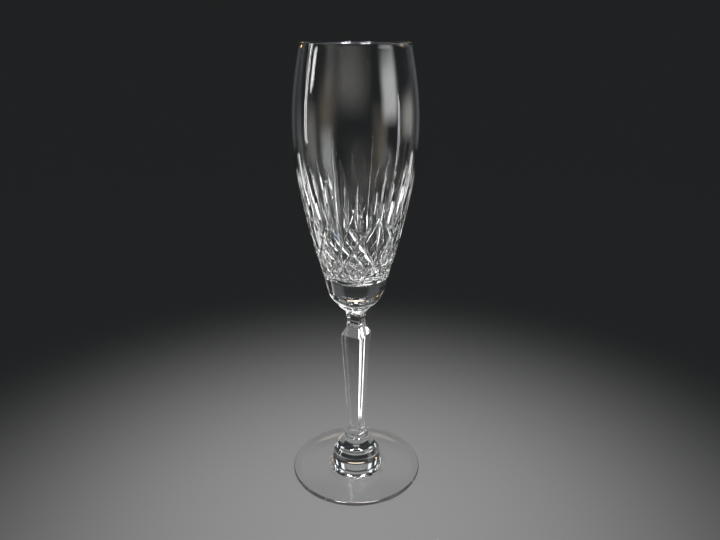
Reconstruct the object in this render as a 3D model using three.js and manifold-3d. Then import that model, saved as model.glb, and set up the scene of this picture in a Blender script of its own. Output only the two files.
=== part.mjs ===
// Champagne flute of cut crystal: a tall cut bowl on a square, tapering stem with a pyramid knop,
// a round collar and a bell-shaped foot. Millimetres, +Z up, origin under the middle of the foot.
// X and Y are square to the flat sides of the stem.

import * as THREE from "three";
import { mergeVertices } from "three/addons/utils/BufferGeometryUtils.js";
import Module from "manifold-3d";

const wasm = await Module();
wasm.setup();

// ---- Driving dimensions ----

const ROUND_SIDES = 48;
const SQUARE_SIDES = 4;

const HEIGHT = 225;

const FOOT_RADIUS = 35;
const FOOT_THICKNESS = 2.4;
const FOOT_HOLLOW_DEPTH = 0.8;
const CONTACT_RING_INNER = 31;
const DOME_FOOT_RADIUS = 13.5;
const DOME_FILLET = 2;
const DOME_EDGE_RADIUS = 12.4;
const DOME_EDGE_Z = 12.4;
const DOME_BEVEL_RADIUS = 11.1;
const DOME_BEVEL_Z = 14.1;
const DOME_TOP_RADIUS = 6.3;
const COLLAR_BOTTOM_Z = 18;

const COLLAR_RADIUS = 6.6;
const COLLAR_TOP_Z = 21.2;

// The square stem is measured from its axis to a corner.
const BLOCK_CORNER = 5.35;
const BLOCK_TOP_Z = 25.7;
const SHAFT_FOOT_CORNER = 4.5;
const SHAFT_FOOT_Z = 28.5;
const KNOP_CORNER = 8.2;
const KNOP_EDGE_Z = 82.2;
const KNOP_TOP_Z = 86.7;
const BAND_CORNER = 5.3;
const BAND_TOP_Z = 88.6;
const NECK_CORNER = 4.95;
const NECK_TOP_Z = 91.5;
const FLARE_RADIUS = 10.4;
const FLARE_SIDE_Z = 99.2;
const STEM_TOP_Z = 100.7;

const RIM_RADIUS = 25.1;
const WALL_AT_RIM = 1.3;
const RIM_BEND_Z = HEIGHT - WALL_AT_RIM / 2;
const WELL_FLOOR_Z = 112;
const BOWL_STEPS = 14;
const WELL_STEPS = 11;
const ARC_STEPS = 4;

// The cuts repeat round the bowl. Each wheel has a V edge, given by half its angle.
const REPEATS = 8;
const REPEAT_ANGLE = 360 / REPEATS;
const FIRST_CROSSING_ANGLE = 32;
const MITRE = { depth: 1.2, halfAngle: 55, upperOffset: -17, upperZ: 150.5, lowerZ: 117, sag: 1.2, steps: 9 };
const MIDDLE_SPEAR = { depth: 1.5, halfAngle: 60, splay: 0, bottomZ: 129, tipZ: 179, steps: 5 };
const SIDE_SPEAR = { depth: 1.1, halfAngle: 60, splay: 4, bottomZ: 134, tipZ: 168, steps: 5 };
const SIDE_SPEAR_OFFSET = 3;
const CUTTER_CLEARANCE = 0.6;

// ---- Profiles: pairs of radius and height ----

const bowlOutside = curveThrough([
  [FLARE_RADIUS, STEM_TOP_Z], [12.9, 105], [17.2, 118], [23.1, 140],
  [28.1, 168], [29.6, 190], [28.5, 205], [RIM_RADIUS, RIM_BEND_Z],
]);
const bowlOutline = bowlOutside.getPoints(200);

const bowlInside = curveThrough([
  [RIM_RADIUS - WALL_AT_RIM, RIM_BEND_Z], [26.9, 205], [27.9, 190], [26.3, 168],
  [21, 143], [14.8, 122], [9.6, 114.4], [0, WELL_FLOOR_Z],
]);

function curveThrough(points) {
  return new THREE.SplineCurve(points.map(([radius, z]) => new THREE.Vector2(radius, z)));
}

function arc(centreRadius, centreZ, radius, fromDegrees, toDegrees) {
  const from = THREE.MathUtils.degToRad(fromDegrees);
  const to = THREE.MathUtils.degToRad(toDegrees);
  const curve = new THREE.EllipseCurve(centreRadius, centreZ, radius, radius, from, to, to < from);
  return curve.getPoints(ARC_STEPS);
}

function at(radius, z) {
  return new THREE.Vector2(radius, z);
}

// ---- Solids ----

function revolved(profile, sides, turn = 0) {
  const geometry = new THREE.LatheGeometry(profile, sides, turn);
  return geometry.rotateX(Math.PI / 2);
}

function solidOf(geometry) {
  const bare = geometry.clone();
  bare.deleteAttribute("normal");
  bare.deleteAttribute("uv");
  const merged = mergeVertices(bare, 1e-4);
  const corners = merged.index.array;
  const triangles = [];
  for (let i = 0; i < corners.length; i += 3) {
    const [a, b, c] = corners.slice(i, i + 3);
    if (a !== b && b !== c && c !== a) triangles.push(a, b, c);
  }
  return new wasm.Manifold(new wasm.Mesh({
    numProp: 3,
    vertProperties: new Float32Array(merged.attributes.position.array),
    triVerts: new Uint32Array(triangles),
  }));
}

function geometryOf(solid) {
  const { numProp, vertProperties, triVerts } = solid.getMesh();
  const geometry = new THREE.BufferGeometry();
  const vertices = new THREE.InterleavedBuffer(vertProperties, numProp);
  geometry.setAttribute("position", new THREE.InterleavedBufferAttribute(vertices, 3, 0));
  geometry.setIndex(Array.from(triVerts));
  return geometry.toNonIndexed();
}

// ---- Cuts in the bowl ----

function radiusAt(z) {
  const above = bowlOutline.findIndex((point) => point.y > z);
  const [low, high] = [bowlOutline[above - 1], bowlOutline[above]];
  return THREE.MathUtils.mapLinear(z, low.y, high.y, low.x, high.x);
}

function pointOnBowl([degrees, z]) {
  const angle = THREE.MathUtils.degToRad(degrees);
  return new THREE.Vector3(radiusAt(z) * Math.sin(angle), -radiusAt(z) * Math.cos(angle), z);
}

function outwardAt([degrees, z]) {
  const angle = THREE.MathUtils.degToRad(degrees);
  const slope = radiusAt(z + 0.5) - radiusAt(z - 0.5);
  return new THREE.Vector3(Math.sin(angle), -Math.cos(angle), -slope).normalize();
}

// A three-sided prism laid along a path on the bowl, with one edge in the glass and two outside.
// The path gives degrees and height, and depthAt how deep the inner edge is, from 0 to 1 along it.
function grooveCutter(path, depthAt, halfAngle, steps) {
  const prism = new THREE.CylinderGeometry(1, 1, 1, 3, steps);
  const position = prism.attributes.position;
  const widening = Math.tan(THREE.MathUtils.degToRad(halfAngle)) / Math.sin(Math.PI / 3);
  for (let i = 0; i < position.count; i += 1) {
    const along = position.getY(i) + 0.5;
    const nearby = 0.01;
    const ahead = pointOnBowl(path(along + nearby)).sub(pointOnBowl(path(along - nearby)));
    const outward = outwardAt(path(along));
    const sideways = outward.clone().cross(ahead.normalize());
    const reach = depthAt(along) + CUTTER_CLEARANCE;
    const rise = ((1 - position.getZ(i)) / 1.5) * reach - depthAt(along);
    const place = pointOnBowl(path(along))
      .addScaledVector(outward, rise)
      .addScaledVector(sideways, position.getX(i) * widening * reach);
    position.setXYZ(i, place.x, place.y, place.z);
  }
  return solidOf(prism);
}

// Long cuts leaning both ways cross above each diamond, meet their neighbours' at its sides and
// run on to the lower point of the next diamond.
function mitreCut(crossing, lean) {
  const path = (along) => [
    crossing + lean * THREE.MathUtils.lerp(MITRE.upperOffset, REPEAT_ANGLE, along),
    THREE.MathUtils.lerp(MITRE.upperZ, MITRE.lowerZ, along) - MITRE.sag * Math.sin(Math.PI * along),
  ];
  const runOut = 0.12;
  const depthAt = (along) => MITRE.depth * Math.min(1, along / runOut, (1 - along) / runOut);
  return grooveCutter(path, depthAt, MITRE.halfAngle, MITRE.steps);
}

// Tall pointed cuts fan up from between the crossings, deepest near their lower ends.
function spearCut(spear, foot, lean) {
  const path = (along) => [
    foot + lean * spear.splay * along,
    THREE.MathUtils.lerp(spear.bottomZ, spear.tipZ, along),
  ];
  const depthAt = (along) => spear.depth * Math.sin(Math.PI * Math.pow(along, 0.6));
  return grooveCutter(path, depthAt, spear.halfAngle, spear.steps);
}

function bowlCuts() {
  const cuts = [];
  for (let i = 0; i < REPEATS; i += 1) {
    const crossing = FIRST_CROSSING_ANGLE + i * REPEAT_ANGLE;
    const valley = crossing + REPEAT_ANGLE / 2;
    cuts.push(spearCut(MIDDLE_SPEAR, valley, 0));
    for (const lean of [-1, 1]) {
      cuts.push(mitreCut(crossing, lean));
      cuts.push(spearCut(SIDE_SPEAR, valley + lean * SIDE_SPEAR_OFFSET, lean));
    }
  }
  return cuts;
}

// ---- Pieces ----

function bowl() {
  const solid = solidOf(revolved([
    at(0, STEM_TOP_Z),
    ...bowlOutside.getPoints(BOWL_STEPS).slice(0, -1),
    ...arc(RIM_RADIUS - WALL_AT_RIM / 2, RIM_BEND_Z, WALL_AT_RIM / 2, 0, 180),
    ...bowlInside.getPoints(WELL_STEPS).slice(1, -1),
    at(0, WELL_FLOOR_Z),
  ], ROUND_SIDES));
  return geometryOf(bowlCuts().reduce((left, cut) => left.subtract(cut), solid));
}

function squareStem() {
  const clearOfRound = FLARE_RADIUS * Math.SQRT2 + 1.3;
  const flare = new THREE.QuadraticBezierCurve(
    at(NECK_CORNER, NECK_TOP_Z), at(NECK_CORNER + 0.8, 95), at(clearOfRound, STEM_TOP_Z),
  );
  return revolved([
    at(0, COLLAR_TOP_Z),
    at(BLOCK_CORNER, COLLAR_TOP_Z),
    at(BLOCK_CORNER, BLOCK_TOP_Z),
    at(SHAFT_FOOT_CORNER + 0.2, BLOCK_TOP_Z + 0.7),
    at(SHAFT_FOOT_CORNER, SHAFT_FOOT_Z),
    at(KNOP_CORNER, KNOP_EDGE_Z),
    at(BAND_CORNER - 0.3, KNOP_TOP_Z),
    at(BAND_CORNER, KNOP_TOP_Z + 0.3),
    at(BAND_CORNER, BAND_TOP_Z - 0.3),
    at(NECK_CORNER, BAND_TOP_Z),
    ...flare.getPoints(8),
    at(0, STEM_TOP_Z),
  ], SQUARE_SIDES, Math.PI / SQUARE_SIDES);
}

function roundEnvelope() {
  const clearOfKnop = KNOP_CORNER + 4;
  const flare = new THREE.SplineCurve([
    at(NECK_CORNER + 0.1, BAND_TOP_Z + 1), at(NECK_CORNER + 0.2, 92.2),
    at(6.1, 94.9), at(8.5, 97.3), at(FLARE_RADIUS, FLARE_SIDE_Z),
  ]);
  return revolved([
    at(0, COLLAR_TOP_Z - 1),
    at(clearOfKnop, COLLAR_TOP_Z - 1),
    at(clearOfKnop, BAND_TOP_Z + 1),
    ...flare.getPoints(10),
    at(FLARE_RADIUS, STEM_TOP_Z),
    at(0, STEM_TOP_Z),
  ], ROUND_SIDES);
}

function stem() {
  return geometryOf(solidOf(squareStem()).intersect(solidOf(roundEnvelope())));
}

function collar() {
  const halfHeight = (COLLAR_TOP_Z - COLLAR_BOTTOM_Z) / 2;
  const side = arc(COLLAR_RADIUS - halfHeight, COLLAR_BOTTOM_Z + halfHeight, halfHeight, -90, 90);
  return revolved([at(0, COLLAR_BOTTOM_Z), ...side, at(0, COLLAR_TOP_Z)], ROUND_SIDES);
}

function foot() {
  const edgeRadius = FOOT_THICKNESS / 2;
  const edge = arc(FOOT_RADIUS - edgeRadius, edgeRadius, edgeRadius, -90, 90);
  const filletZ = FOOT_THICKNESS + DOME_FILLET;
  const fillet = arc(DOME_FOOT_RADIUS + DOME_FILLET, filletZ, DOME_FILLET, 270, 180);
  const shoulder = new THREE.QuadraticBezierCurve(
    at(DOME_BEVEL_RADIUS, DOME_BEVEL_Z), at(9.4, 16.9), at(DOME_TOP_RADIUS, COLLAR_BOTTOM_Z),
  );
  return revolved([
    at(0, FOOT_HOLLOW_DEPTH),
    at(CONTACT_RING_INNER - 2, FOOT_HOLLOW_DEPTH),
    at(CONTACT_RING_INNER, 0),
    ...edge,
    ...fillet,
    at(DOME_EDGE_RADIUS, DOME_EDGE_Z),
    ...shoulder.getPoints(4),
    at(0, COLLAR_BOTTOM_Z),
  ], ROUND_SIDES);
}

// ---- Assembly ----

function crystal(colour) {
  return new THREE.MeshStandardMaterial({ color: colour, roughness: 0.03, metalness: 0 });
}

const flute = new THREE.Group();
const pieces = [
  ["bowl", bowl(), 0xdfe5e8],
  ["stem", stem(), 0xd9e0e4],
  ["collar", collar(), 0xd4dce0],
  ["foot", foot(), 0xdde3e6],
];
for (const [name, geometry, colour] of pieces) {
  const mesh = new THREE.Mesh(geometry, crystal(colour));
  mesh.name = name;
  flute.add(mesh);
}

export default flute;
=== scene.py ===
"""Champagne flute of cut crystal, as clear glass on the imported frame."""
import math

import bpy
import numpy as np
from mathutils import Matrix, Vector


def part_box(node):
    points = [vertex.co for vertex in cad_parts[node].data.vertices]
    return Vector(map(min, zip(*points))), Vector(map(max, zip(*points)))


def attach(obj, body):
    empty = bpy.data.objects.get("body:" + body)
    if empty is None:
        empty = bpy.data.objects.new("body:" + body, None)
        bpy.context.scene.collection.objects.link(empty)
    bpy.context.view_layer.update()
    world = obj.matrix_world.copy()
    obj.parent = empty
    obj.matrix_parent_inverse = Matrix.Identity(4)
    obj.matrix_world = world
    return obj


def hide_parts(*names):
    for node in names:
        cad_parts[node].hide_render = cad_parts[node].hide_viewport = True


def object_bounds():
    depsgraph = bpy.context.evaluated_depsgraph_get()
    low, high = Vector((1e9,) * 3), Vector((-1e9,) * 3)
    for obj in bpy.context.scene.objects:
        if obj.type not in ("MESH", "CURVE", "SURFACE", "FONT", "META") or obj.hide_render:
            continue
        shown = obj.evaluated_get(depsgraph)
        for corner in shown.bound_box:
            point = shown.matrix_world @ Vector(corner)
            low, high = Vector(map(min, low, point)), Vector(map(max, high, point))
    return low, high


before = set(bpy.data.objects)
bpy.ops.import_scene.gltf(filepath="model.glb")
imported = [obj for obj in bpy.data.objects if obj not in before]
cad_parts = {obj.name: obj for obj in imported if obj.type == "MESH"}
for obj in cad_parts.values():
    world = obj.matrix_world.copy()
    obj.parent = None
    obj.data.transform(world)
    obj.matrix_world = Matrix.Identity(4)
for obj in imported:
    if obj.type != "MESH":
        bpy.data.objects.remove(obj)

# The glass is described in mm and scaled by MM. The floor, the lights and the camera are in metres.
# Azimuths round the axis are in degrees.

MM = 0.001
CAD_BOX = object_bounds()
HEIGHT = CAD_BOX[1].z / MM
FOOT_RADIUS = CAD_BOX[1].x / MM
STEM_BOTTOM, STEM_TOP = (corner.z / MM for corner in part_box("stem"))
COLLAR_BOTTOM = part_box("collar")[0].z / MM
COLLAR_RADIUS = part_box("collar")[1].x / MM
FLARE_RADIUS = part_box("stem")[1].x / MM
CAMERA_AZIMUTH = 27.5

# ---- Sizes of the bowl: its walls pass through points of radius and height ----

ROUND_SIDES = 192
SHARP_ANGLE = math.radians(14)
RIM_RADIUS = 25.1
RIM_WALL = 1.3
RIM_TILT = 10.5
RIM_STEPS = 10
WELL_FLOOR = 112.0
BOWL_OUTSIDE = [(13.2, 103.8), (14.9, 109.2), (17.2, 118), (23.1, 140),
                (28.1, 168), (29.55, 190), (28.4, 206)]
BOWL_INSIDE = [(26.8, 206), (27.85, 190), (26.3, 168), (21.0, 143), (14.8, 122), (9.6, 114.4)]
OUTSIDE_STEPS = 14
INSIDE_STEPS = 10
MEASURING_STEPS = 40
SLOPE_REACH = 0.4

# ---- Sizes of the cuts: azimuths are counted from the crossing that a cut belongs to ----
# A wheel's edge is a V, with half_angle from its middle to its side and its tip blunted by rounding,
# or it is round, with a radius.

REPEATS = 8
REPEAT = 360 / REPEATS
FIRST_CROSSING = CAMERA_AZIMUTH + 4.5
MITRE = dict(depth=0.85, half_angle=45, rounding=0.45, run_out=0.12, steps=40,
             upper=-17.0, upper_z=150.0, lower_z=115.8, sag=3.4)
LATTICE_CUTS = 2
LATTICE = dict(depth=0.65, half_angle=45, rounding=0.3, run_out=0.1, steps=14)
TALL_SPEAR = dict(depth=0.75, half_angle=45, rounding=0.25, foot=127.0, tip=182.0, steps=28)
SIDE_SPEAR = dict(depth=1.1, half_angle=66, rounding=0.5, foot=143.5, tip=168.0, steps=28)
SIDE_SPEAR_OFFSET = 9.5
LEAF = dict(depth=1.0, half_angle=68, rounding=0.5, foot=142.5, tip=171.5, steps=28)
CRESCENT = dict(depth=0.8, radius=1.6, reach=18.5, z=118.0, dip=1.2, steps=20)
SPEAR_SKEW = 0.75
SPEAR_TAPER = 1.2
SPEAR_LEAST_DEPTH = 0.005
LEAST_DEPTH = 0.02
CUTTER_CLEARANCE = 0.5
GROOVE_STEPS = 5
LOOK_AHEAD = 0.005


# ---- Curves ----

def smooth_curve(points, steps):
    """Points along the natural cubic spline through the given ones."""
    points = np.array(points, float)
    spans = np.linalg.norm(np.diff(points, axis=0), axis=1)
    count = len(points)
    system = np.eye(count)
    bend = np.zeros_like(points)
    for i in range(1, count - 1):
        system[i, i - 1:i + 2] = spans[i - 1], 2 * (spans[i - 1] + spans[i]), spans[i]
        bend[i] = 6 * ((points[i + 1] - points[i]) / spans[i] - (points[i] - points[i - 1]) / spans[i - 1])
    bend = np.linalg.solve(system, bend)
    made = []
    for i, span in enumerate(spans):
        for a in np.linspace(0, 1, steps, endpoint=False):
            b = 1 - a
            curl = ((b ** 3 - b) * bend[i] + (a ** 3 - a) * bend[i + 1]) * span ** 2 / 6
            made.append(tuple(b * points[i] + a * points[i + 1] + curl))
    return made + [tuple(points[-1])]


def arc(centre, radius, start, end, steps):
    angles = np.linspace(math.radians(start), math.radians(end), steps + 1)
    return [(centre[0] + radius * math.cos(a), centre[1] + radius * math.sin(a)) for a in angles]


def rounded(corners, steps=5):
    """The outline through corners (radius, height, rounding), with an arc at each one that is rounded."""
    made = []
    for i, (x, z, rounding) in enumerate(corners):
        here = Vector((x, z))
        if not rounding or i in (0, len(corners) - 1):
            made.append((x, z))
            continue
        to_last = (Vector(corners[i - 1][:2]) - here).normalized()
        to_next = (Vector(corners[i + 1][:2]) - here).normalized()
        half = to_last.angle(to_next) / 2
        centre = here + (to_last + to_next).normalized() * rounding / math.sin(half)
        first = here + to_last * rounding / math.tan(half) - centre
        last = here + to_next * rounding / math.tan(half) - centre
        turn = first.angle_signed(last)
        for a in np.linspace(0, -turn, steps + 1):
            made.append(tuple(centre + Vector((
                first.x * math.cos(a) - first.y * math.sin(a),
                first.x * math.sin(a) + first.y * math.cos(a)))))
    return made


# ---- Meshes ----

def skin(name, rings):
    """A closed mesh over rings of equal length. A ring of one point closes an end."""
    vertices, starts, faces = [], [], []
    for ring in rings:
        starts.append(len(vertices))
        vertices += [Vector(p) * MM for p in ring]
    for (low, a), (high, b) in zip(zip(rings, starts), zip(rings[1:], starts[1:])):
        count = max(len(low), len(high))
        for i in range(count):
            j = (i + 1) % count
            if len(low) == 1:
                faces.append((a, b + j, b + i))
            elif len(high) == 1:
                faces.append((a + i, a + j, b))
            else:
                faces.append((a + i, a + j, b + j, b + i))
    mesh = bpy.data.meshes.new(name)
    mesh.from_pydata(vertices, [], faces)
    piece = bpy.data.objects.new(name, mesh)
    bpy.context.scene.collection.objects.link(piece)
    return piece


def circle(radius, z, sides=ROUND_SIDES):
    """A ring of points, or the one point on the axis where the radius is nothing."""
    if radius < 1e-6:
        return [(0.0, 0.0, z)]
    turns = [2 * math.pi * i / sides for i in range(sides)]
    return [(radius * math.cos(a), radius * math.sin(a), z) for a in turns]


def revolve(name, outline):
    return skin(name, [circle(max(radius, 0), z) for radius, z in outline])


# ---- Bowl ----

RIM_CENTRE = (RIM_RADIUS - RIM_WALL / 2, HEIGHT - RIM_WALL / 2)


def rim_edge(side):
    """Where the rim's arc meets the outer wall, for side 1, or the inner wall, for side -1."""
    tilt = math.radians(RIM_TILT)
    return (RIM_CENTRE[0] + side * RIM_WALL / 2 * math.cos(tilt),
            RIM_CENTRE[1] + side * RIM_WALL / 2 * math.sin(tilt))


def bowl_outside(steps):
    return smooth_curve([(FLARE_RADIUS, STEM_TOP)] + BOWL_OUTSIDE + [rim_edge(1)], steps)


def bowl_inside(steps):
    """The inner wall down to the axis. It is drawn on past the axis, so that the well is level there."""
    across = [(-radius, z) for radius, z in BOWL_INSIDE[::-1][:3]]
    whole = smooth_curve([rim_edge(-1)] + BOWL_INSIDE + [(0, WELL_FLOOR)] + across, steps)
    return whole[:-len(across) * steps]


OUTSIDE = np.array(bowl_outside(MEASURING_STEPS))


def outside_radius(z):
    return float(np.interp(z, OUTSIDE[:, 1], OUTSIDE[:, 0]))


def outside_normal(degrees, z):
    slope = (outside_radius(z + SLOPE_REACH) - outside_radius(z - SLOPE_REACH)) / (2 * SLOPE_REACH)
    turn = math.radians(degrees)
    return Vector((math.sin(turn), -math.cos(turn), -slope)).normalized()


def on_bowl(degrees, z):
    turn = math.radians(degrees)
    radius = outside_radius(z)
    return Vector((radius * math.sin(turn), -radius * math.cos(turn), z))


def blunt_profile(reach, half_angle, rounding):
    """Across a cut by a blunt V edge: how far sideways and how far up from its bottom."""
    steepness = math.tan(math.radians(half_angle))
    half_width = math.sqrt((reach * steepness + rounding) ** 2 - rounding ** 2)
    slope = math.atan(half_width / math.hypot(half_width, rounding) / steepness)
    made = []
    for turn in np.linspace(-slope, slope, 2 * GROOVE_STEPS + 1):
        lean = math.tan(turn) * steepness
        sideways = rounding * lean / math.sqrt(1 - lean ** 2)
        made.append((sideways, (math.hypot(sideways, rounding) - rounding) / steepness))
    return made


def round_profile(reach, radius):
    """Across a cut by a round edge: how far sideways and how far up from its bottom."""
    half_width = math.sqrt(2 * radius * reach)
    return [(x, x * x / (2 * radius)) for x in np.linspace(-half_width, half_width, 2 * GROOVE_STEPS + 1)]


def groove_cutter(path, depth_at, cut):
    """The space that a wheel takes along a path, which gives azimuth and height from 0 to 1."""
    rings = []
    for along in np.linspace(0, 1, cut["steps"] + 1):
        ahead = on_bowl(*path(along + LOOK_AHEAD)) - on_bowl(*path(along - LOOK_AHEAD))
        outward = outside_normal(*path(along))
        sideways = outward.cross(ahead).normalized()
        inner = on_bowl(*path(along)) - outward * depth_at(along)
        reach = depth_at(along) + CUTTER_CLEARANCE
        if "radius" in cut:
            profile = round_profile(reach, cut["radius"])
        else:
            profile = blunt_profile(reach, cut["half_angle"], cut["rounding"])
        rings.append([inner + sideways * x + outward * rise for x, rise in profile])
    first_middle, last_middle = (sum(ring, Vector()) / len(ring) for ring in (rings[0], rings[-1]))
    return skin("cutter", [[first_middle], *rings, [last_middle]])


def leaning_cutter(crossing, lean, start, end, cut):
    """A stretch of the long leaning cut through a crossing, between two azimuths counted from there."""
    def path(along):
        offset = start + (end - start) * along
        whole = (offset - MITRE["upper"]) / (REPEAT - MITRE["upper"])
        z = MITRE["upper_z"] + (MITRE["lower_z"] - MITRE["upper_z"]) * whole
        return crossing + lean * offset, z - MITRE["sag"] * math.sin(math.pi * whole)

    def depth_at(along):
        return cut["depth"] * min(1, along / cut["run_out"], (1 - along) / cut["run_out"]) + LEAST_DEPTH
    return groove_cutter(path, depth_at, cut)


def upright_cutter(cut, degrees):
    """A spear or leaf, which is deepest below its middle and runs out to a point at its tip."""
    def path(along):
        return degrees, cut["foot"] + (cut["tip"] - cut["foot"]) * along

    def depth_at(along):
        return cut["depth"] * math.sin(math.pi * along ** SPEAR_SKEW) ** SPEAR_TAPER + SPEAR_LEAST_DEPTH
    return groove_cutter(path, depth_at, cut)


def crescent_cutter(valley):
    def path(along):
        across = 2 * along - 1
        return valley + CRESCENT["reach"] * across, CRESCENT["z"] - CRESCENT["dip"] * (1 - across ** 2)

    def depth_at(along):
        return CRESCENT["depth"] * math.sin(math.pi * along) + LEAST_DEPTH
    return groove_cutter(path, depth_at, CRESCENT)


def bowl_cutters():
    made = []
    for i in range(REPEATS):
        crossing = FIRST_CROSSING + i * REPEAT
        valley = crossing + REPEAT / 2
        made.append(upright_cutter(TALL_SPEAR, valley))
        made.append(upright_cutter(LEAF, crossing))
        made.append(crescent_cutter(valley))
        for lean in (-1, 1):
            made.append(upright_cutter(SIDE_SPEAR, valley + lean * SIDE_SPEAR_OFFSET))
            made.append(leaning_cutter(crossing, lean, MITRE["upper"], REPEAT, MITRE))
            for j in range(1, LATTICE_CUTS + 1):
                shift = REPEAT * j / (LATTICE_CUTS + 1)
                start = shift / 2
                made.append(leaning_cutter(crossing - lean * shift, lean, start, start + REPEAT / 2, LATTICE))
    return made


def cut_away(piece, cutters):
    for cutter in cutters:
        cut = piece.modifiers.new("cut", "BOOLEAN")
        cut.operation = "DIFFERENCE"
        cut.solver = "MANIFOLD"
        cut.object = cutter
    depsgraph = bpy.context.evaluated_depsgraph_get()
    cut_mesh = bpy.data.meshes.new_from_object(piece.evaluated_get(depsgraph))
    piece.modifiers.clear()
    piece.data = cut_mesh
    for cutter in cutters:
        bpy.data.objects.remove(cutter)


def make_bowl():
    rim = arc(RIM_CENTRE, RIM_WALL / 2, RIM_TILT, 180 + RIM_TILT, RIM_STEPS)
    outline = [(0, STEM_TOP), *bowl_outside(OUTSIDE_STEPS), *rim[1:-1], *bowl_inside(INSIDE_STEPS)]
    bowl = revolve("bowl_cut_crystal", outline)
    cut_away(bowl, bowl_cutters())
    return bowl


# ---- Stem: a square section is measured from the axis to its corner ----

STRAIGHT_POINTS = 9
CORNER_POINTS = 19
CORNER_MAKE_UP = 0.7
LEAST_CORNER_ANGLE = math.radians(4)
NO_ENVELOPE = 1000.0
# Height, and how far the corners of the square are rounded there
EDGE_ROUNDING = [(21, 0.35), (26, 0.4), (28.5, 0.5), (82.2, 1.7), (86.7, 0.5), (88, 0.3), (100, 0.3)]

BLOCK_CORNER = 5.35
BLOCK_TOP = 25.7
BLOCK_SLOPE = 0.6
SHAFT_FOOT = (4.5, 28.5)
SHAFT_FOOT_FLARE = 0.25
KNOP_EDGE = (8.2, 82.2)
KNOP_TOP = 86.7
BAND_CORNER = 5.3
BAND_TOP = 88.6
BAND_INSET = 0.3
BAND_BEVEL = 0.4
NECK_CORNER = 4.95
NECK_TOP = 91.5
FLARE_START = BAND_TOP + 0.5
FLARE_SIDE = 100.4
# The flare under the bowl is a square that grows, inside a round envelope of radius and height
FLARE_SQUARE = [(NECK_CORNER, NECK_TOP), (5.6, 93.5), (8.0, 96), (11.5, 98.3), (16, STEM_TOP)]
FLARE_ROUND = [(5.05, BAND_TOP), (5.1, 92.4), (5.9, 95.6), (8.6, 98.1), (FLARE_RADIUS, FLARE_SIDE)]
FLARE_STEPS = 6
FLARE_ENVELOPE = np.array(smooth_curve(FLARE_ROUND, 8))


def stem_ring(corner, z, envelope=NO_ENVELOPE):
    """A square section with rounded corners, cut off by the envelope where it is wider."""
    heights, roundings = zip(*EDGE_ROUNDING)
    rounding = float(np.interp(z, heights, roundings))
    side = corner / math.sqrt(2) + rounding * (1 - math.sqrt(0.5)) * CORNER_MAKE_UP
    tip = (side - rounding) * math.sqrt(2) + rounding
    if envelope >= tip:
        bend = [(side - rounding + rounding * math.cos(a), side - rounding + rounding * math.sin(a))
                for a in np.linspace(0, math.pi / 2, CORNER_POINTS)]
    else:
        first_angle = max(math.acos(min(1, side / envelope)), LEAST_CORNER_ANGLE)
        bend = [(envelope * math.cos(a), envelope * math.sin(a))
                for a in np.linspace(first_angle, math.pi / 2 - first_angle, CORNER_POINTS)]
    first, last = Vector(bend[0]), Vector(bend[-1])
    following = Vector((-first.y, first.x))
    straight = [last.lerp(following, a) for a in np.linspace(0, 1, STRAIGHT_POINTS + 2)[1:-1]]
    if side > envelope:
        straight = [p.normalized() * envelope for p in straight]
    quarter_ring = [*bend, *(tuple(p) for p in straight)]
    ring = []
    for quarter in range(4):
        turn = math.pi / 2 * quarter
        for x, y in quarter_ring:
            ring.append((x * math.cos(turn) - y * math.sin(turn), x * math.sin(turn) + y * math.cos(turn), z))
    return ring


def stem_outline():
    shaft = rounded([
        (BLOCK_CORNER, STEM_BOTTOM, 0),
        (BLOCK_CORNER, BLOCK_TOP, 0.25),
        (SHAFT_FOOT[0] + SHAFT_FOOT_FLARE, BLOCK_TOP + BLOCK_SLOPE, 0.3),
        (*SHAFT_FOOT, 2.0),
        (*KNOP_EDGE, 0.18),
        (BAND_CORNER - BAND_INSET, KNOP_TOP, 0.15),
        (BAND_CORNER, KNOP_TOP + BAND_BEVEL, 0.15),
        (BAND_CORNER, BAND_TOP - BAND_BEVEL, 0.15),
        (NECK_CORNER, BAND_TOP, 0.15),
        (NECK_CORNER, NECK_TOP, 0),
    ])
    return shaft + smooth_curve(FLARE_SQUARE, FLARE_STEPS)[1:]


def stem_envelope(z):
    if z <= FLARE_START:
        return NO_ENVELOPE
    return float(np.interp(z, FLARE_ENVELOPE[:, 1], FLARE_ENVELOPE[:, 0]))


def make_stem():
    rings = [stem_ring(corner, z, stem_envelope(z)) for corner, z in stem_outline()]
    return skin("stem_square_crystal", [[(0.0, 0.0, STEM_BOTTOM)], *rings, [(0.0, 0.0, STEM_TOP)]])


# ---- Collar and foot: corners are radius, height and rounding ----

COLLAR_ROUNDING = 1.1
COLLAR_JOINT_RADIUS = 5.2
COLLAR_LEDGE = 0.2
ROUNDING_STEPS = 8


def make_collar():
    """Round, with a top face that takes the square end of the stem."""
    sides = 4 * (STRAIGHT_POINTS + CORNER_POINTS)
    outline = rounded([
        (COLLAR_JOINT_RADIUS, COLLAR_BOTTOM, 0),
        (COLLAR_RADIUS, COLLAR_BOTTOM, COLLAR_ROUNDING),
        (COLLAR_RADIUS, STEM_BOTTOM, COLLAR_ROUNDING),
        (COLLAR_JOINT_RADIUS + COLLAR_LEDGE, STEM_BOTTOM, 0),
    ], ROUNDING_STEPS)
    rings = [circle(radius, z, sides) for radius, z in outline]
    seat = stem_ring(BLOCK_CORNER, STEM_BOTTOM)
    return skin("collar_crystal", [
        [(0.0, 0.0, COLLAR_BOTTOM)], *rings, seat, [(0.0, 0.0, STEM_BOTTOM)]])


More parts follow.
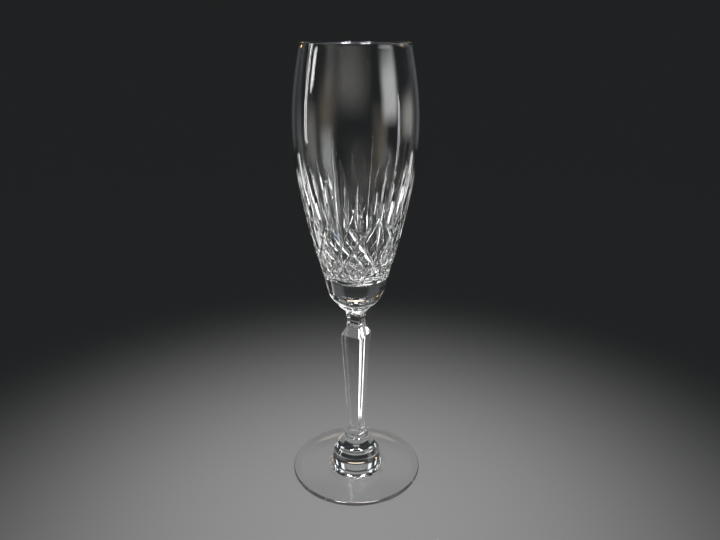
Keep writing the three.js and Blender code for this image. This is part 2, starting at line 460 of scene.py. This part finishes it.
FOOT_THICKNESS = 2.4
FOOT_EDGE = FOOT_THICKNESS / 2 * 0.98
FOOT_HOLLOW = 0.8
CONTACT_RING = 31.0
CONTACT_WIDTH = 1
UNDERSIDE = [(0, FOOT_HOLLOW), (10, FOOT_HOLLOW * 0.97), (20, FOOT_HOLLOW * 0.75),
             (27, FOOT_HOLLOW * 0.35), (CONTACT_RING, 0)]
DOME = [(13.7, FOOT_THICKNESS, 4.4), (12.4, 12.4, 0.25), (11.1, 14.1, 0.3), (9.7, 16.3, 5.0),
        (6.3, COLLAR_BOTTOM, 0.2)]


def make_foot():
    outline = smooth_curve(UNDERSIDE, 6) + rounded([
        (CONTACT_RING + CONTACT_WIDTH, 0, 0),
        (FOOT_RADIUS, 0, FOOT_EDGE),
        (FOOT_RADIUS, FOOT_THICKNESS, FOOT_EDGE),
        *DOME,
        (COLLAR_JOINT_RADIUS, COLLAR_BOTTOM, 0),
        (0, COLLAR_BOTTOM, 0),
    ], ROUNDING_STEPS)
    return revolve("foot_crystal", outline)


# ---- Materials ----

CRYSTAL_IOR = 1.545
WIPING = dict(scale=60, detail=3, shaded_at=0.35, clear_at=0.7, shade=0.985)
SMEARS = dict(start=0.55, end=0.8, roughness=0.03)
RIPPLE = dict(scale=90, detail=1, height=0.0002)


def add_node(nodes, kind, values):
    node = nodes.new(kind)
    for socket, value in values.items():
        node.inputs[socket].default_value = value
    return node


def crystal(name, tint, ripple):
    """Polished lead crystal: clear, with faint ripples in its surface and faint wiping marks."""
    material = bpy.data.materials.new(name)
    material.use_nodes = True
    nodes, links = material.node_tree.nodes, material.node_tree.links
    glass = nodes["Principled BSDF"]
    glass.inputs["Transmission Weight"].default_value = 1.0
    glass.inputs["IOR"].default_value = CRYSTAL_IOR
    place = nodes.new("ShaderNodeTexCoord")
    marks = add_node(nodes, "ShaderNodeTexNoise", {"Scale": WIPING["scale"], "Detail": WIPING["detail"]})
    links.new(place.outputs["Object"], marks.inputs["Vector"])
    tints = nodes.new("ShaderNodeValToRGB")
    shaded, clear = tints.color_ramp.elements
    shaded.position = WIPING["shaded_at"]
    shaded.color = (*(c * WIPING["shade"] for c in tint), 1)
    clear.position = WIPING["clear_at"]
    clear.color = (*tint, 1)
    links.new(marks.outputs["Fac"], tints.inputs["Fac"])
    links.new(tints.outputs["Color"], glass.inputs["Base Color"])
    polish = add_node(nodes, "ShaderNodeMapRange", {
        "From Min": SMEARS["start"], "From Max": SMEARS["end"], "To Max": SMEARS["roughness"]})
    links.new(marks.outputs["Fac"], polish.inputs["Value"])
    links.new(polish.outputs["Result"], glass.inputs["Roughness"])
    waves = add_node(nodes, "ShaderNodeTexNoise", {"Scale": RIPPLE["scale"], "Detail": RIPPLE["detail"]})
    links.new(place.outputs["Object"], waves.inputs["Vector"])
    bump = add_node(nodes, "ShaderNodeBump", {"Strength": ripple, "Distance": RIPPLE["height"]})
    links.new(waves.outputs["Fac"], bump.inputs["Height"])
    links.new(bump.outputs["Normal"], glass.inputs["Normal"])
    return material


def fused_joint():
    """Where two pieces were joined hot there is no surface left, so light passes straight on."""
    material = bpy.data.materials.new("fused_joint")
    material.use_nodes = True
    nodes, links = material.node_tree.nodes, material.node_tree.links
    nodes.remove(nodes["Principled BSDF"])
    clear = nodes.new("ShaderNodeBsdfTransparent")
    links.new(clear.outputs["BSDF"], nodes["Material Output"].inputs["Surface"])
    return material


def pale_floor():
    material = bpy.data.materials.new("floor_pale")
    material.use_nodes = True
    shader = material.node_tree.nodes["Principled BSDF"]
    shader.inputs["Base Color"].default_value = (0.75, 0.75, 0.745, 1)
    shader.inputs["Roughness"].default_value = 0.9
    shader.inputs["Specular IOR Level"].default_value = 0.1
    return material


# ---- Pieces ----

LEVEL_TOLERANCE = 0.001
BOWL_JOINT = ([STEM_TOP], FLARE_RADIUS + 1)
STEM_JOINTS = ([STEM_BOTTOM, STEM_TOP], FLARE_RADIUS + 1)
COLLAR_JOINTS = ([COLLAR_BOTTOM, STEM_BOTTOM], COLLAR_JOINT_RADIUS + 0.1)
FOOT_JOINT = ([COLLAR_BOTTOM], COLLAR_JOINT_RADIUS + 0.1)
# Function, CAD node, material slot, tint, strength of the ripple, and the heights and reach of its joints
PIECES = [
    (make_bowl, "bowl", "bowl_crystal", (0.985, 0.992, 0.99), 0.04, BOWL_JOINT),
    (make_stem, "stem", "stem_crystal", (0.98, 0.99, 0.988), 0.05, STEM_JOINTS),
    (make_collar, "collar", "collar_crystal", (0.98, 0.99, 0.988), 0.05, COLLAR_JOINTS),
    (make_foot, "foot", "foot_crystal", (0.982, 0.991, 0.989), 0.05, FOOT_JOINT),
]


def is_joint(face, vertices, levels, joint_radius):
    """Whether a face lies flat at the height of a joint and within its reach."""
    corners = [vertices[v].co / MM for v in face.vertices]
    if max(corner.xy.length for corner in corners) >= joint_radius:
        return False
    return any(max(abs(corner.z - level) for corner in corners) < LEVEL_TOLERANCE for level in levels)


def finish_piece(piece, materials, joints, node):
    mesh = piece.data
    mesh.materials.clear()
    for material in materials:
        mesh.materials.append(material)
    for face in mesh.polygons:
        if is_joint(face, mesh.vertices, *joints):
            face.material_index = 1
    mesh.shade_smooth()
    mesh.set_sharp_from_angle(angle=SHARP_ANGLE)
    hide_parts(node)
    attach(piece, "root")
    piece.visible_shadow = False


# ---- Floor ----

FLOOR_RADIUS = 1.6
COVE_HEIGHT = 1.6
COVE_ROUNDING = 0.7
COVE_STEPS = 16


def floor():
    """A round pale floor that rises into a wall a long way off, so that no horizon shows."""
    outline = rounded([
        (0, 0, 0),
        (FLOOR_RADIUS / MM, 0, COVE_ROUNDING / MM),
        (FLOOR_RADIUS / MM, COVE_HEIGHT / MM, 0),
    ], COVE_STEPS)
    cove = revolve("floor", outline)
    cove.data.flip_normals()
    cove.data.shade_smooth()
    cove.data.materials.append(pale_floor())


# ---- Lights: azimuths are degrees to the right of the camera's side, seen from the glass ----

MIDDLE = HEIGHT / 2 * MM
BOX_DISTANCE = 0.9
CARD_HEIGHT = 0.001
WHITE, COOL, WARM = (1, 1, 1), (0.88, 0.94, 1), (1, 0.84, 0.64)
CREAM, AMBER, BLUE = (1, 0.96, 0.9), (1, 0.5, 0.12), (0.25, 0.45, 1)
# Name, azimuth, degrees up, width and height, brightness, softness of its edges, colour
SOFT_BOXES = [
    ("top_left", -40, 60, (0.2, 0.5), 55, 0.12, WHITE),
    ("top_right", 40, 60, (0.2, 0.5), 55, 0.12, WHITE),
    ("spark_amber", 104, 22, (0.04, 0.04), 18, 0.1, AMBER),
    ("spark_gold", -138, 14, (0.04, 0.04), 22, 0.1, AMBER),
    ("spark_blue", 26, 44, (0.05, 0.05), 30, 0.1, BLUE),
    ("spark_sky", -64, 34, (0.05, 0.05), 30, 0.1, BLUE),
    ("window_right", 64, 12, (0.68, 0.46), 3.8, 0.34, WHITE),
    ("sill_right", 104, 1, (0.8, 0.3), 1.25, 0.45, CREAM),
    ("strip_left", -99, 8, (0.05, 0.9), 12, 0.3, WHITE),
    ("window_left", -86, 16, (0.08, 0.18), 10, 0.12, WHITE),
    ("room_left", -52, 6, (0.8, 0.6), 0.75, 0.5, WARM),
    ("room_front", -10, 19, (1.6, 0.6), 0.8, 0.5, CREAM),
    ("edge_left", -152, 3, (0.5, 0.4), 0.05, 0.25, COOL),
    ("edge_right", 152, 3, (0.5, 0.4), 0.07, 0.25, COOL),
    ("back_strip", 180, 17, (0.5, 0.09), 1.4, 0.2, WARM),
    ("back_left", -150, 33, (0.14, 0.24), 1.1, 0.2, COOL),
    ("back_right", 150, 33, (0.14, 0.24), 1.2, 0.2, COOL),
    ("back_fill", 180, 31, (1.1, 0.26), 0.25, 0.3, WHITE),
    ("back_far_left", -130, 30, (0.12, 0.2), 1.6, 0.2, COOL),
    ("back_far_right", 130, 30, (0.12, 0.2), 1.6, 0.2, COOL),
    ("back_high", 180, 56, (0.2, 0.2), 0.4, 0.2, COOL),
]
# Cards lie on the floor and shine up.
# Name, azimuth, nearest and farthest edge, width, brightness, softness of its edges, colour
CARDS = [
    ("card_left", -104, 0.14, 0.3, 0.04, 2.8, 0.1, WHITE),
    ("card_far_left", -132, 0.32, 0.8, 0.07, 3.0, 0.1, WHITE),
    ("card_side_left", -118, 0.2, 0.6, 0.03, 3.5, 0.1, WHITE),
    ("card_right", 95, 0.15, 0.3, 0.04, 3.0, 0.1, WHITE),
    ("card_far_right", 128, 0.32, 0.8, 0.07, 3.0, 0.1, WHITE),
    ("card_side_right", 113, 0.2, 0.6, 0.03, 3.8, 0.1, WHITE),
    ("card_back_left", -150, 0.05, 0.2, 0.06, 2.6, 0.1, WHITE),
    ("card_front_right", 60, 0.3, 0.9, 0.34, 0.6, 0.45, WHITE),
]
POOL = dict(energy=18, angle=24, radius=0.1, height=1.1, forward=0.05)
GLOW = dict(colour=(0.9, 0.95, 1.0, 1), strength=0.03)


def around(azimuth, across, height):
    """A place at a distance across from the axis of the glass."""
    turn = math.radians(CAMERA_AZIMUTH + azimuth)
    return (across * math.sin(turn), -across * math.cos(turn), height)


def fade_edges(lamp, softness):
    """The lamp's face is brightest in its middle and fades towards its edges."""
    lamp.use_nodes = True
    nodes, links = lamp.node_tree.nodes, lamp.node_tree.links
    where = nodes.new("ShaderNodeNewGeometry")
    split = nodes.new("ShaderNodeSeparateXYZ")
    links.new(where.outputs["Parametric"], split.inputs["Vector"])
    fades = []
    for axis in ("X", "Y"):
        centred = add_node(nodes, "ShaderNodeMath", {1: 0.5})
        centred.operation = "SUBTRACT"
        links.new(split.outputs[axis], centred.inputs[0])
        off_centre = nodes.new("ShaderNodeMath")
        off_centre.operation = "ABSOLUTE"
        links.new(centred.outputs["Value"], off_centre.inputs[0])
        fade = add_node(nodes, "ShaderNodeMapRange", {"From Min": 0.5, "From Max": 0.5 - softness})
        fade.interpolation_type = "SMOOTHSTEP"
        links.new(off_centre.outputs["Value"], fade.inputs["Value"])
        fades.append(fade)
    both = nodes.new("ShaderNodeMath")
    both.operation = "MULTIPLY"
    links.new(fades[0].outputs["Result"], both.inputs[0])
    links.new(fades[1].outputs["Result"], both.inputs[1])
    links.new(both.outputs["Value"], nodes["Emission"].inputs["Strength"])


def add_light(name, lamp):
    light = bpy.data.objects.new(name, lamp)
    bpy.context.scene.collection.objects.link(light)
    return light


def glass_light(name, size, radiance, softness, colour, glass):
    """A soft rectangle of light that the glass alone sees, so that the floor stays plain."""
    lamp = bpy.data.lights.new(name, "AREA")
    lamp.shape = "RECTANGLE"
    lamp.size, lamp.size_y = size
    lamp.energy = radiance * size[0] * size[1] * math.pi
    lamp.color = colour
    light = add_light(name, lamp)
    light.visible_camera = False
    light.light_linking.receiver_collection = glass
    fade_edges(lamp, softness)
    return light


def pool_of_light():
    """The one light that falls on the floor, from above the glass."""
    lamp = bpy.data.lights.new("pool", "SPOT")
    lamp.energy = POOL["energy"]
    lamp.spot_size = math.radians(POOL["angle"])
    lamp.spot_blend = 1
    lamp.shadow_soft_size = POOL["radius"]
    add_light("pool", lamp).location = around(0, POOL["forward"], POOL["height"])


def soft_boxes(glass):
    for name, azimuth, elevation, size, radiance, softness, colour in SOFT_BOXES:
        box = glass_light(name, size, radiance, softness, colour, glass)
        rise = math.radians(elevation)
        box.location = around(azimuth, BOX_DISTANCE * math.cos(rise), MIDDLE + BOX_DISTANCE * math.sin(rise))
        box.rotation_euler = (Vector((0, 0, MIDDLE)) - box.location).to_track_quat("-Z", "Y").to_euler()


def floor_cards(glass):
    for name, azimuth, near, far, width, radiance, softness, colour in CARDS:
        card = glass_light(name, (width, far - near), radiance, softness, colour, glass)
        card.location = around(azimuth, (near + far) / 2, CARD_HEIGHT)
        card.rotation_euler = (math.pi, 0, math.radians(CAMERA_AZIMUTH + azimuth))


def faint_glow():
    world = bpy.data.worlds.new("studio")
    world.use_nodes = True
    background = world.node_tree.nodes["Background"]
    background.inputs["Color"].default_value = GLOW["colour"]
    background.inputs["Strength"].default_value = GLOW["strength"]
    bpy.context.scene.world = world


# ---- Camera ----

CAMERA_DISTANCE = 0.3039
CAMERA_HEIGHT = 0.2292
CAMERA_ASIDE = 0.002
CAMERA_PITCH = math.radians(20.26)
SENSOR_WIDTH = 36
LENS = 32.24


def camera():
    made = bpy.data.cameras.new("camera")
    made.sensor_width = SENSOR_WIDTH
    made.lens = LENS
    made.clip_start, made.clip_end = 0.01, 20
    view = bpy.data.objects.new("camera", made)
    bpy.context.scene.collection.objects.link(view)
    turn = math.radians(CAMERA_AZIMUTH)
    view.location = (CAMERA_DISTANCE * math.sin(turn) + CAMERA_ASIDE * math.cos(turn),
                     -CAMERA_DISTANCE * math.cos(turn) + CAMERA_ASIDE * math.sin(turn), CAMERA_HEIGHT)
    view.rotation_euler = (math.pi / 2 - CAMERA_PITCH, 0, turn)
    bpy.context.scene.camera = view


# ---- The flute on its stage ----

def light_paths():
    """Enough bounces for the cuts, and no bright speckles from light focused by the glass."""
    cycles = bpy.context.scene.cycles
    cycles.max_bounces = 24
    cycles.transmission_bounces = 24
    cycles.transparent_max_bounces = 32
    cycles.glossy_bounces = 8
    cycles.caustics_reflective = False
    cycles.caustics_refractive = False


joint = fused_joint()
glass_pieces = bpy.data.collections.new("glass")
for make, node, slot, tint, ripple, joints in PIECES:
    piece = make()
    finish_piece(piece, (crystal(slot, tint, ripple), joint), joints, node)
    glass_pieces.objects.link(piece)

floor()
pool_of_light()
soft_boxes(glass_pieces)
floor_cards(glass_pieces)
faint_glow()
camera()
light_paths()
bpy.context.scene.view_settings.view_transform = "Standard"
